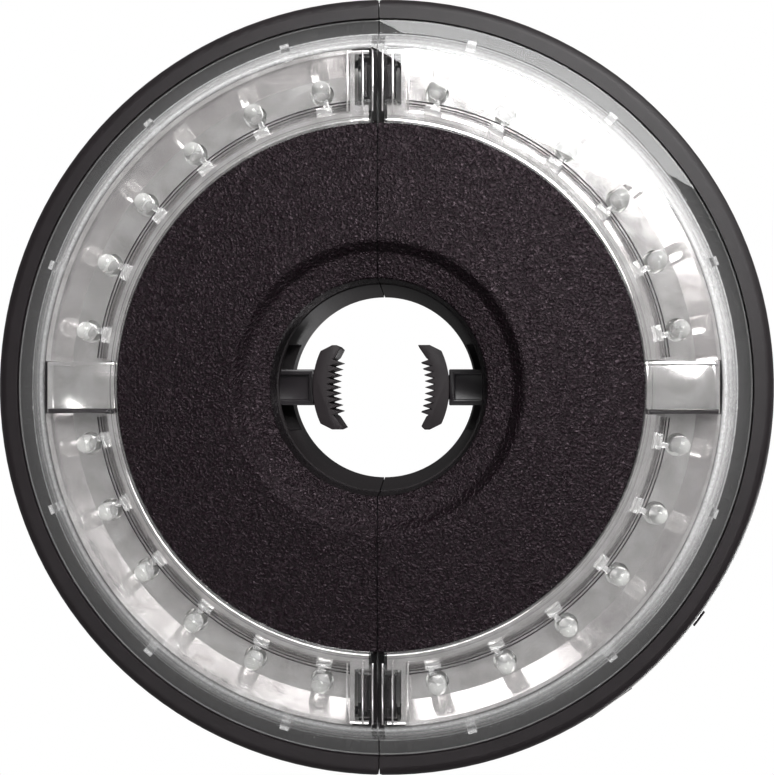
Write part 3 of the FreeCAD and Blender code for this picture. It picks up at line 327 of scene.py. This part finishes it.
MATERIALS = {
    "grained_black": grained_black(),
    "case_black": case_black(),
    "smooth_black": smooth_black(),
    "black_rubber": black_rubber(),
    "clear_plastic": clear_plastic(),
    "lamp_epoxy": lamp_epoxy(),
    "reflector_silver": reflector_silver(),
    "plated_metal": metal("plated_metal", 0.26, 0.42, 0.25, 2 * MM),
    "steel": metal("steel", 0.40, 0.60, 0.28, 1.5 * MM),
    "spring_steel": metal("spring_steel", 0.38, 0.55, 0.30, 1.0 * MM),
    "circuit_board": plain("circuit_board", (0.34, 0.34, 0.33), (0.42, 0.42, 0.41), 0.35, 3 * MM),
    "cell_jacket": plain("cell_jacket", (0.05, 0.08, 0.13), (0.08, 0.12, 0.18), 0.25, 8 * MM),
    "component_black": plain("component_black", 0.012, 0.025, 0.45, 0.6 * MM),
}

slots = {row["node"]: row["material_slot"] for row in record["subparts"]}
body_of_node = {node: body for body, held in record["behaviour"]["bodies"].items() for node in held}
for name, node in nodes.items():
    node.data.materials.clear()
    node.data.materials.append(MATERIALS[slots[name]])

# ---------------------------------------------------------------- piece helpers

SIDES = {"right": 1, "left": -1}
HALF_BODY = {"right": "fixed_half", "left": "swing_half"}
SHARP = math.radians(35.0)
BEVEL_FROM = math.radians(30.0)
FLAT_WITHIN = math.radians(1.0)
SAME_POINT = 0.002 * MM
LATHE_STEPS = 24


def piece(name, shape, slot, body):
    """Turns a bmesh into an object on its body, with its slot's material."""
    mesh = bpy.data.meshes.new(name)
    shape.to_mesh(mesh)
    shape.free()
    mesh.materials.append(MATERIALS[slot])
    mesh.shade_smooth()
    mesh.set_sharp_from_angle(angle=SHARP)
    made = bpy.data.objects.new(name, mesh)
    bpy.context.scene.collection.objects.link(made)
    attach(made, body)
    return made


def bevel_sharp(shape, width):
    """Rounds every sharp edge of a bmesh."""
    edges = [e for e in shape.edges if len(e.link_faces) == 2 and e.calc_face_angle(0) > BEVEL_FROM]
    bmesh.ops.bevel(shape, geom=edges, offset=width, segments=2, profile=0.5, affect="EDGES",
                    clamp_overlap=True)


def softened(name, width):
    """Stands for a CAD node whose edges the real mould rounds off."""
    shape = bmesh.new()
    shape.from_mesh(nodes[name].data)
    bmesh.ops.remove_doubles(shape, verts=shape.verts, dist=SAME_POINT)
    bmesh.ops.dissolve_limit(shape, angle_limit=FLAT_WITHIN, verts=shape.verts, edges=shape.edges)
    bevel_sharp(shape, width)
    made = piece("soft_" + name, shape, slots[name], body_of_node[name])
    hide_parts(name)
    return made


def add_box(shape, size, matrix, width):
    """A box with rounded edges, put into a bmesh at a matrix."""
    box = bmesh.new()
    bmesh.ops.create_cube(box, size=1.0)
    bmesh.ops.scale(box, vec=size, verts=box.verts)
    bevel_sharp(box, width)
    bmesh.ops.transform(box, matrix=matrix, verts=box.verts)
    mesh = bpy.data.meshes.new("box")
    box.to_mesh(mesh)
    box.free()
    shape.from_mesh(mesh)
    bpy.data.meshes.remove(mesh)


def add_lathe(shape, profile, matrix):
    """A closed (radius, height) profile turned round its own Z axis, put into a bmesh."""
    turns = [math.tau * i / LATHE_STEPS for i in range(LATHE_STEPS)]
    rings = [[shape.verts.new(matrix @ Vector((radius * math.cos(turn), radius * math.sin(turn), height)))
              for turn in turns] for radius, height in profile]
    for low, high in zip(rings, rings[1:]):
        for i in range(LATHE_STEPS):
            j = (i + 1) % LATHE_STEPS
            shape.faces.new((low[i], low[j], high[j], high[i]))
    shape.faces.new(list(reversed(rings[0])))
    shape.faces.new(rings[-1])


def round_axis(side, angle):
    """Turns what lies on +X to an angle of one half; the left half is the right one mirrored."""
    return Matrix.Rotation(angle if side > 0 else math.pi - angle, 4, "Z")


# ---------------------------------------------------------------- rounded copies of CAD nodes

MOULD_ROUND = 0.25 * MM
SPRING_ROUND = 0.05 * MM
SPRINGS = {
    "jaw_spring_left": "jaw_left_slide",
    "jaw_spring_right": "jaw_right_slide",
    "button_spring": "button_press",
}


def sprung(name):
    """A spring's sleeve with rounded edges and a mesh of its own."""
    made = softened(name, SPRING_ROUND)
    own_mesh(made)


for name in nodes:
    if name.startswith(("jaw_pad", "jaw_arm", "divider", "battery_door")) or name == "power_button":
        softened(name, MOULD_ROUND)
for name, joint in SPRINGS.items():
    sprung(name)

# ---------------------------------------------------------------- fine ridges, ribs and lines of painted shade in the ring

RIDGE_FROM, RIDGE_TO, RIDGE_Y, RIDGE_Z = 69.8 * MM, 87.6 * MM, 6.2 * MM, -19.35 * MM
RIDGE_WIDTH, RIDGE_HEIGHT, RIDGE_ROUND = 1.2 * MM, 0.8 * MM, 0.25 * MM
RIDGE_TILT = math.radians(14.0)
# hinge side: a silver ridge; latch side: a black strip of painted shadow where the shadow gap along the
# divider's edge falls
RIDGE_AND_SHADOW_STRIP = (("hinge", -1, "reflector_silver"), ("latch", 1, "smooth_black"))
# painted shade: two dark lines along the inner corner of each tray's floor
LINE_RADII = (76.35 * MM, 77.15 * MM)
LINE_Z, LINE_WIDTH, LINE_ROUND = -12.15 * MM, 0.3 * MM, 0.05 * MM
LINE_FROM, LINE_ARC = math.radians(6.0), math.radians(78.5)
LINE_STEPS, LINE_OVERLAP = 48, 1.05
RIB_FROM, RIB_TO, RIB_Z = 71.6 * MM, 87.6 * MM, -20.9 * MM
RIB_X = (1.3 * MM, 3.9 * MM, 7.9 * MM)
RIB_WIDTH, RIB_HEIGHT, RIB_ROUND = 0.5 * MM, 0.6 * MM, 0.12 * MM


def divider_ridge(side, way):
    """A ridge along one edge of a divider, tilted away from its middle; in black it is a strip of painted
    shadow.
    """
    shape = bmesh.new()
    place = Matrix.Translation((side * (RIDGE_FROM + RIDGE_TO) / 2, way * RIDGE_Y, RIDGE_Z))
    tilt = Matrix.Rotation(way * RIDGE_TILT, 4, "X")
    add_box(shape, (RIDGE_TO - RIDGE_FROM, RIDGE_WIDTH, RIDGE_HEIGHT), place @ tilt, RIDGE_ROUND)
    return shape


def corner_shade_lines(side):
    """Two fine dark lines of painted shade along the inner corner of each tray's floor."""
    shape = bmesh.new()
    for way in (1, -1):
        for radius in LINE_RADII:
            length = radius * LINE_ARC / LINE_STEPS * LINE_OVERLAP
            for i in range(LINE_STEPS):
                turn = round_axis(side, way * (LINE_FROM + LINE_ARC * (i + 0.5) / LINE_STEPS))
                place = turn @ Matrix.Translation((radius, 0, LINE_Z))
                add_box(shape, (LINE_WIDTH, length, LINE_WIDTH), place, LINE_ROUND)
    return shape


def end_ribs(side):
    """Upright ribs behind the lens's front at both ends of a half."""
    shape = bmesh.new()
    for way in (1, -1):
        for across in RIB_X:
            place = Matrix.Translation((side * across, way * (RIB_FROM + RIB_TO) / 2, RIB_Z))
            add_box(shape, (RIB_WIDTH, RIB_TO - RIB_FROM, RIB_HEIGHT), place, RIB_ROUND)
    return shape


for word, side in SIDES.items():
    body = HALF_BODY[word]
    for end, way, slot in RIDGE_AND_SHADOW_STRIP:
        # the black latch-side piece is painted shadow along the divider's edge
        piece("divider_ridge_%s_%s" % (word, end), divider_ridge(side, way), slot, body)
    # painted shade lines in the inner corners of the trays
    piece("corner_shade_lines_" + word, corner_shade_lines(side), "smooth_black", body)
    piece("end_ribs_" + word, end_ribs(side), "reflector_silver", body)

# ---------------------------------------------------------------- lamps

LED_CIRCLE_R = 80.5 * MM
LED_TIP_Z = -15.0 * MM
LED_TILT = math.radians(6.0)
LED_BARREL = 6.1 * MM
LED_ANGLES = [math.radians(10.9 + 13.6 * i) for i in range(6)]
INSIDE_ROUND = 0.08 * MM
POST_SIZE, POST_AT = (0.5 * MM, 1.3 * MM, 2.6 * MM), (0, -0.7 * MM, 1.5 * MM)
THIN_SIZE, THIN_AT = (0.45 * MM, 0.7 * MM, 2.4 * MM), (0, 0.95 * MM, 1.4 * MM)
CUP_MM = [(0.45, 2.7), (0.85, 2.8), (1.05, 3.5), (0.9, 3.5), (0.55, 2.95), (0.05, 2.95)]
CUP_AT = (0, -0.2 * MM, 0)
LUG_SIZE, LUG_AT, LUG_ROUND = (2.6 * MM, 4.2 * MM, 2.2 * MM), (73.6 * MM, 0, -17.6 * MM), 0.3 * MM
STUB_SIZE, STUB_AT, STUB_ROUND = (2.6 * MM, 1.5 * MM, 1.4 * MM), (75.8 * MM, 0.7 * MM, -16.0 * MM), 0.25 * MM


def lamp_matrix(side, angle):
    """Z runs from a lamp's base to its tip, Y along the ring."""
    out = Vector((side * math.cos(angle), math.sin(angle), 0))
    aim = out * math.sin(LED_TILT) - Vector((0, 0, math.cos(LED_TILT)))
    along = Vector((-out.y, out.x, 0))
    base = out * LED_CIRCLE_R + Vector((0, 0, LED_TIP_Z)) - aim * LED_BARREL
    turn = Matrix((along.cross(aim), along, aim)).transposed().to_4x4()
    return Matrix.Translation(base) @ turn


def lamp_insides(side, way):
    """Lead frame in the epoxy: cup on the thick post, thin post beside it."""
    shape = bmesh.new()
    for angle in LED_ANGLES:
        matrix = lamp_matrix(side, way * angle)
        add_box(shape, POST_SIZE, matrix @ Matrix.Translation(POST_AT), INSIDE_ROUND)
        add_box(shape, THIN_SIZE, matrix @ Matrix.Translation(THIN_AT), INSIDE_ROUND)
        add_lathe(shape, [(r * MM, z * MM) for r, z in CUP_MM], matrix @ Matrix.Translation(CUP_AT))
    return shape


def lamp_clips(side):
    """Clear lugs between the lens's inner wall and each lamp."""
    shape = bmesh.new()
    for way in (1, -1):
        for angle in LED_ANGLES:
            turn = round_axis(side, way * angle)
            add_box(shape, LUG_SIZE, turn @ Matrix.Translation(LUG_AT), LUG_ROUND)
            add_box(shape, STUB_SIZE, turn @ Matrix.Translation(STUB_AT), STUB_ROUND)
    return shape


for word, side in SIDES.items():
    for end, way in (("latch", 1), ("hinge", -1)):
        piece("lamp_insides_%s_%s" % (word, end), lamp_insides(side, way), "plated_metal", HALF_BODY[word])
    piece("lamp_clips_" + word, lamp_clips(side), "clear_plastic", HALF_BODY[word])

# ---------------------------------------------------------------- camera

FOCAL_PX = 1000.0
FRAME_PX = (774.0, 775.0)
SENSOR_WIDTH = 36.0
FRONT_Z = -24.0 * MM
HOLE_RIM_Z = -20.5 * MM
CAMERA_GAP = 257.0 * MM
CAMERA_TURN = math.radians(2.9)
HOLE_RIM_PX = (377.8, 387.3)


def make_camera():
    """Looks up at the lamps' side, turned a little so that the right-hand rim is nearer."""
    right = Vector((math.cos(CAMERA_TURN), 0, math.sin(CAMERA_TURN)))
    up = Vector((0, -1, 0))
    back = right.cross(up)
    depth = CAMERA_GAP + HOLE_RIM_Z - FRONT_Z
    across = (HOLE_RIM_PX[0] - FRAME_PX[0] / 2) * depth / FOCAL_PX
    above = (FRAME_PX[1] / 2 - HOLE_RIM_PX[1]) * depth / FOCAL_PX
    place = Vector((0, 0, HOLE_RIM_Z)) + back * depth - right * across - up * above
    data = bpy.data.cameras.new("camera")
    data.sensor_width = SENSOR_WIDTH
    data.lens = FOCAL_PX / max(FRAME_PX) * SENSOR_WIDTH
    data.clip_start = 10 * MM
    camera = bpy.data.objects.new("camera", data)
    bpy.context.scene.collection.objects.link(camera)
    turn = Matrix((right, up, back)).transposed().to_4x4()
    camera.matrix_world = Matrix.Translation(place) @ turn
    bpy.context.scene.camera = camera


# ---------------------------------------------------------------- floor, world and lights

FLOOR_Z, FLOOR_HALF, FLOOR_MOTTLE = -2.2, 5.0, 0.4
FLOOR_TONE, FLOOR_SEEN = (0.48, 0.51), (0.74, 0.78)
# light from the world at shares of the way from straight below (0) to straight above (1)
SKY = ((0.22, 0.07), (0.38, 0.17), (0.50, 0.24), (0.62, 0.28), (0.90, 0.28), (0.97, 0.03))
SKY_BELOW, SKY_ABOVE = 0.06, 0.02
# name, place, size in metres, power in watts; all aim at the origin
SOFTBOXES = (
    ("key", (0.27, -0.49, -0.79), (0.62, 0.5), 14.0),
    ("edge", (0.62, -0.55, -0.16), (0.5, 0.22), 1.7),
    ("low", (0.02, 0.54, -0.92), (0.55, 0.10), 1.2),
    ("low left", (-0.43, 0.37, -0.92), (0.45, 0.08), 0.8),
    ("top", (0.62, 0.45, 0.50), (0.4, 0.4), 7.0),
)


def floor():
    """Pale floor far below; what it throws back at the lamps' side is dimmer than it looks."""
    mesh = bpy.data.meshes.new("floor")
    corners = [(x * FLOOR_HALF, y * FLOOR_HALF, FLOOR_Z) for x, y in ((-1, -1), (1, -1), (1, 1), (-1, 1))]
    mesh.from_pydata(corners, [], [(0, 1, 2, 3)])
    made = bpy.data.objects.new("floor", mesh)
    bpy.context.scene.collection.objects.link(made)
    shade = Shade("floor")
    mottle = shade.noise(FLOOR_MOTTLE, 2.0)
    shade.link(shade.ramp(mottle, *FLOOR_TONE), shade.main.inputs["Base Color"])
    shade.set(Roughness=0.7)
    glow = shade.add("ShaderNodeEmission")
    shade.link(shade.ramp(mottle, *FLOOR_SEEN), glow.inputs["Color"])
    shade.by_ray("Is Camera Ray", shade.main.outputs["BSDF"], glow.outputs["Emission"], shade.surface)
    mesh.materials.append(shade.material)


def world():
    """White behind the object; the light it gives is dimmer from below than from the sides."""
    made = bpy.data.worlds.new("world")
    bpy.context.scene.world = made
    made.use_nodes = True
    tree = Tree(made.node_tree)
    light = tree.nodes["Background"]
    light.inputs["Strength"].default_value = 1.0
    parts = tree.add("ShaderNodeSeparateXYZ")
    tree.link(tree.add("ShaderNodeTexCoord").outputs["Generated"], parts.inputs["Vector"])
    height = tree.add("ShaderNodeMapRange", From_Min=-1.0)
    tree.link(parts.outputs["Z"], height.inputs["Value"])
    spread = tree.add("ShaderNodeValToRGB")
    stops = spread.color_ramp.elements
    stops[0].color, stops[1].color = Shade.rgba(SKY_BELOW), Shade.rgba(SKY_ABOVE)
    for at, level in SKY:
        stops.new(at).color = Shade.rgba(level)
    tree.link(height.outputs["Result"], spread.inputs["Fac"])
    tree.link(spread.outputs["Color"], light.inputs["Color"])
    seen = tree.add("ShaderNodeBackground", Color=Shade.rgba(1.0), Strength=1.0)
    tree.by_ray("Is Camera Ray", light.outputs["Background"], seen.outputs["Background"],
                tree.nodes["World Output"].inputs["Surface"])


def softbox(name, place, size, power):
    """A soft rectangular light that aims at the origin."""
    data = bpy.data.lights.new(name, "AREA")
    data.shape = "RECTANGLE"
    data.size, data.size_y = size
    data.energy = power
    lamp = bpy.data.objects.new(name, data)
    bpy.context.scene.collection.objects.link(lamp)
    lamp.location = place
    lamp.rotation_mode = "QUATERNION"
    lamp.rotation_quaternion = (-Vector(place)).to_track_quat("-Z", "Y")


make_camera()
floor()
world()
for row in SOFTBOXES:
    softbox(*row)
bpy.context.scene.view_settings.view_transform = "Standard"
